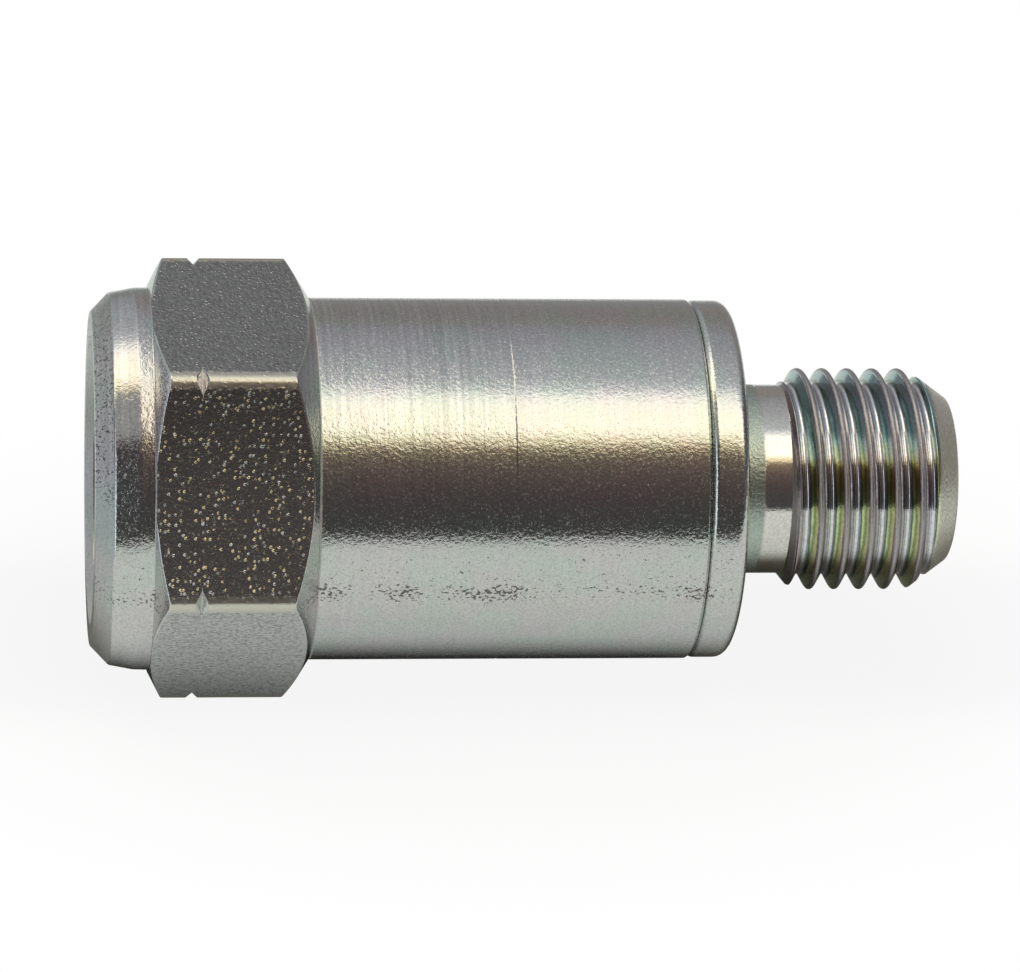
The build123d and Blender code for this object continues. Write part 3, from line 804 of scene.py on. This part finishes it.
def insideFinish(slot, look, grainLook):
    # fine turning rings on metal and a faint moulded grain on rubber and nylon
    finish, tree, place = newFinish(slot + "_finish")
    grain = noise(tree, place, *grainLook["grain"])
    pattern = grain
    if look["metal"]:
        pattern = noise(tree, stretch(tree, place, grainLook["ringStretch"]), *grainLook["rings"])
    colour = blend(tree, rangeOf(tree, grain, *grainLook["toneRange"]), look["dark"], look["light"])
    smooth, rough = [look["rough"] * share for share in grainLook["roughSpread"]]
    roughness = rangeOf(tree, grain, *grainLook["roughRange"], smooth, rough)
    normal = bump(tree, grain, grainLook["depth"], bump(tree, pattern, grainLook["depth"]))
    closeFinish(tree, colour, roughness, normal, look["metal"])
    return finish


turnedMaterial = turnedFinish(turnedZinc)
rolledMaterial = rolledFinish(rolledZinc)
studMaterial = studFinish(studZinc)
insideMaterials = {slot: insideFinish(slot, look, insideGrain) for slot, look in insideLooks.items()}
print("valve: finishes made")

bodyShell = makeBody(bodySizes, turnedMaterial, rolledMaterial)
print("valve: body shell,", len(bodyShell.data.polygons), "faces")
fittingShell = makeFitting(fittingSizes, threadSizes, studMaterial, turnedMaterial)
print("valve: inlet fitting,", len(fittingShell.data.polygons), "faces")
springCoils = makeSpring(springSizes, springTurns, insideMaterials["spring_steel"])
print("valve: spring,", sum(len(coil.data.polygons) for coil in springCoils), "faces")

slotOfNode = {part["node"]: part["material_slot"] for part in frame["record"]["subparts"]}
for name, node in frame["nodes"].items():
    if not node.hide_render:
        for materialSlot in node.material_slots:
            materialSlot.material = insideMaterials[slotOfNode[name]]
print("valve: inside pieces dressed")


# floor, light and camera

viewSettings = {
    "photoWidth": 1020, "focalPixels": 5000, "azimuth": 8.2, "elevation": 34.0, "distance": 249.4,
    "aimX": -10.74, "aimDrop": 0.369, "sensorWidth": 36.0, "clipStart": 0.01,
}
stageLook = {
    "floorZ": cadBounds[0].z, "left": -0.056, "right": 0.3, "front": -0.14, "back": 0.055,
    # the floor colour in the strip right under the valve is a painted shadow
    "floorColour": (0.90, 0.95, 0.97), "paintedShadowColour": (0.24, 0.24, 0.23), "paintedShadowWithin": (0.0038, 0.0095),
    "shadowStretch": (0.6, 1, 0), "whiteFrom": (0.012, 0.026, 0.9, 1.0),
    "mirrorGlow": 0.36, "mirrorTint": (0.93, 1.0, 1.0),
}


def makeFloor(look):
    left, right, front, back, z = look["left"], look["right"], look["front"], look["back"], look["floorZ"]
    mesh = bpy.data.meshes.new("floor")
    corners = [(left, front, z), (right, front, z), (right, back, z), (left, back, z)]
    mesh.from_pydata(corners, [], [(0, 1, 2, 3)])
    floor = bpy.data.objects.new("floor", mesh)
    bpy.context.scene.collection.objects.link(floor)
    finish = bpy.data.materials.new("paleFloor")
    finish.use_nodes = True
    tree = finish.node_tree
    tree.nodes.remove(tree.nodes["Principled BSDF"])
    # the camera sees the floor as white, with a trace of the shadow beside the valve, and the metal mirrors
    # it as lit; right under the valve a painted shadow, a dark strip in the floor's colour without the
    # mirrored glow, makes it darker
    place = addNode(tree, "ShaderNodeTexCoord").outputs["Object"]
    aim = (-viewSettings["aimX"] * mm, 0, 0)
    place = addNode(tree, "ShaderNodeVectorMath", {0: place, 1: aim}).outputs[0]
    away = addNode(tree, "ShaderNodeVectorMath", {0: stretch(tree, place, look["shadowStretch"])},
                   operation="LENGTH").outputs["Value"]
    path = addNode(tree, "ShaderNodeLightPath").outputs
    # the strip right under the valve gets a painted shadow: a darker floor colour and no mirrored glow
    offPaintedShadow = calc(tree, "ABSOLUTE", parts(tree, place)["Y"])
    offPaintedShadow = rangeOf(tree, offPaintedShadow, *look["paintedShadowWithin"])
    mirrored = calc(tree, "MAXIMUM", path["Is Glossy Ray"], path["Is Transmission Ray"])
    mirrored = times(tree, mirrored, offPaintedShadow, look["mirrorGlow"])
    seen = times(tree, path["Is Camera Ray"], rangeOf(tree, away, *look["whiteFrom"]))
    matt = addNode(tree, "ShaderNodeBsdfDiffuse", {
        "Color": blend(tree, offPaintedShadow, look["paintedShadowColour"], look["floorColour"])})
    glow = addNode(tree, "ShaderNodeEmission", {
        "Color": blend(tree, path["Is Camera Ray"], look["mirrorTint"], (1.0, 1.0, 1.0)), "Strength": 1.0})
    mixed = addNode(tree, "ShaderNodeMixShader", {
        0: calc(tree, "MAXIMUM", seen, mirrored), 1: matt.outputs[0], 2: glow.outputs[0]})
    plug(tree, tree.nodes["Material Output"].inputs["Surface"], mixed.outputs[0])
    mesh.materials.append(finish)
    return floor


# what the metal mirrors, by the angle round the valve's axis: 0 is the front horizon, 90 straight up
skyBands = [
    (-180, (0.28, 0.28, 0.28)), (-60, (0.29, 0.30, 0.30)), (-42, (0.07, 0.07, 0.07)), (8, (0.07, 0.07, 0.07)),
    (24, (0.09, 0.072, 0.07)), (40, (0.15, 0.11, 0.10)), (52, (0.26, 0.20, 0.14)), (57, (1.2, 0.98, 0.6)),
    (63, (1.95, 1.82, 1.45)), (77, (1.8, 1.68, 1.36)), (86, (1.6, 1.57, 1.43)), (93, (0.76, 0.80, 0.82)),
    (99, (0.56, 0.60, 0.62)), (116, (0.46, 0.49, 0.51)), (140, (0.36, 0.37, 0.40)),
    (156, (0.29, 0.275, 0.27)), (180, (0.28, 0.26, 0.25)),
]
skyLook = {
    "strength": 2.0, "lean": 35.0, "leanWithin": (0.06, -0.08),
    "pale": (0.40, 0.40, 0.40), "paleFrom": (55.0, 60.04), "paleTo": (94.0, 86.8), "paleWithin": (0.0, -0.12),
    "window": (1.25, 1.3, 1.4), "windowFrom": (-0.42, -0.52), "windowTo": (-0.8, -0.7),
    "windowTop": (0.75, 0.6), "windowFront": (0.1, -0.1),
    "leftLow": (0.46, 0.50, 0.54), "leftHigh": (0.20, 0.21, 0.24), "leftRise": (0.0, 0.3),
    "leftBack": (1.0, 1.08, 1.12), "backFrom": (0.22, 0.36), "backBelow": (0.2, 0.05),
    "leftFrom": (-0.72, -0.86), "right": (0.12, 0.12, 0.12), "rightFrom": (0.7, 0.9),
}


def makeSky(bands, look):
    world = bpy.data.worlds.new("studio")
    bpy.context.scene.world = world
    world.use_nodes = True
    tree = world.node_tree
    axis = parts(tree, addNode(tree, "ShaderNodeTexCoord").outputs["Generated"])

    def dim(colour):
        # all colours are stored darker, and the background's strength makes up for it
        return tuple(c / look["strength"] for c in colour)

    def share(degrees):
        return (degrees + 180) / 360

    def along(name, key):
        return rangeOf(tree, axis[name], *look[key])

    # the bright band leans back on the outlet's side, with a paler stretch under it for the collar
    angle = calc(tree, "ARCTAN2", axis["Z"], calc(tree, "MULTIPLY", axis["Y"], -1.0))
    upright = calc(tree, "MULTIPLY_ADD", angle, 1 / (2 * math.pi), 0.5)
    lean = rangeOf(tree, axis["X"], *look["leanWithin"], 0.0, look["lean"] / 360)
    leaning = calc(tree, "SUBTRACT", upright, lean)
    colour = ramp(tree, leaning, [(share(degrees), dim(tone)) for degrees, tone in bands])
    pale = times(tree, rangeOf(tree, upright, *map(share, look["paleFrom"])),
                 rangeOf(tree, upright, *map(share, look["paleTo"])), along("X", "paleWithin"))
    colour = blend(tree, pale, colour, dim(look["pale"]))
    # a window low on the left, then what lies beyond the two ends of the valve
    window = times(tree, along("X", "windowFrom"), along("X", "windowTo"), along("Z", "windowTop"),
                   along("Y", "windowFront"))
    colour = blend(tree, window, colour, dim(look["window"]))
    left = blend(tree, along("Z", "leftRise"), dim(look["leftLow"]), dim(look["leftHigh"]))
    behind = times(tree, along("Y", "backFrom"), along("Z", "backBelow"))
    left = blend(tree, behind, left, dim(look["leftBack"]))
    colour = blend(tree, along("X", "leftFrom"), colour, left)
    colour = blend(tree, along("X", "rightFrom"), colour, dim(look["right"]))
    mirrored = addNode(tree, "ShaderNodeBackground", {"Color": colour, "Strength": look["strength"]})
    seen = addNode(tree, "ShaderNodeBackground", {"Color": (1, 1, 1, 1), "Strength": 1.0})
    camera = addNode(tree, "ShaderNodeLightPath").outputs["Is Camera Ray"]
    mixed = addNode(tree, "ShaderNodeMixShader", {0: camera, 1: mirrored.outputs[0], 2: seen.outputs[0]})
    plug(tree, tree.nodes["World Output"].inputs["Surface"], mixed.outputs[0])


def makeCamera(look):
    turn, rise = math.radians(look["azimuth"]), math.radians(look["elevation"])
    towards = Vector((-math.sin(turn) * math.cos(rise), -math.cos(turn) * math.cos(rise), math.sin(rise)))
    # rolled so that the valve lies level
    right = (Vector((1, 0, 0)) - towards * towards.x).normalized()
    up = towards.cross(right)
    aim = Vector((look["aimX"], 0, 0)) - up * look["aimDrop"]
    data = bpy.data.cameras.new("camera")
    data.sensor_width = look["sensorWidth"]
    data.lens = look["focalPixels"] / look["photoWidth"] * data.sensor_width
    data.clip_start = look["clipStart"]
    camera = bpy.data.objects.new("camera", data)
    bpy.context.scene.collection.objects.link(camera)
    rotation = Matrix((right, up, towards)).transposed().to_4x4()
    camera.matrix_world = Matrix.Translation((aim + towards * look["distance"]) * mm) @ rotation
    bpy.context.scene.camera = camera


makeFloor(stageLook)
makeSky(skyBands, skyLook)
makeCamera(viewSettings)
bpy.context.scene.view_settings.view_transform = "Standard"
print("valve: stage, light and camera set")
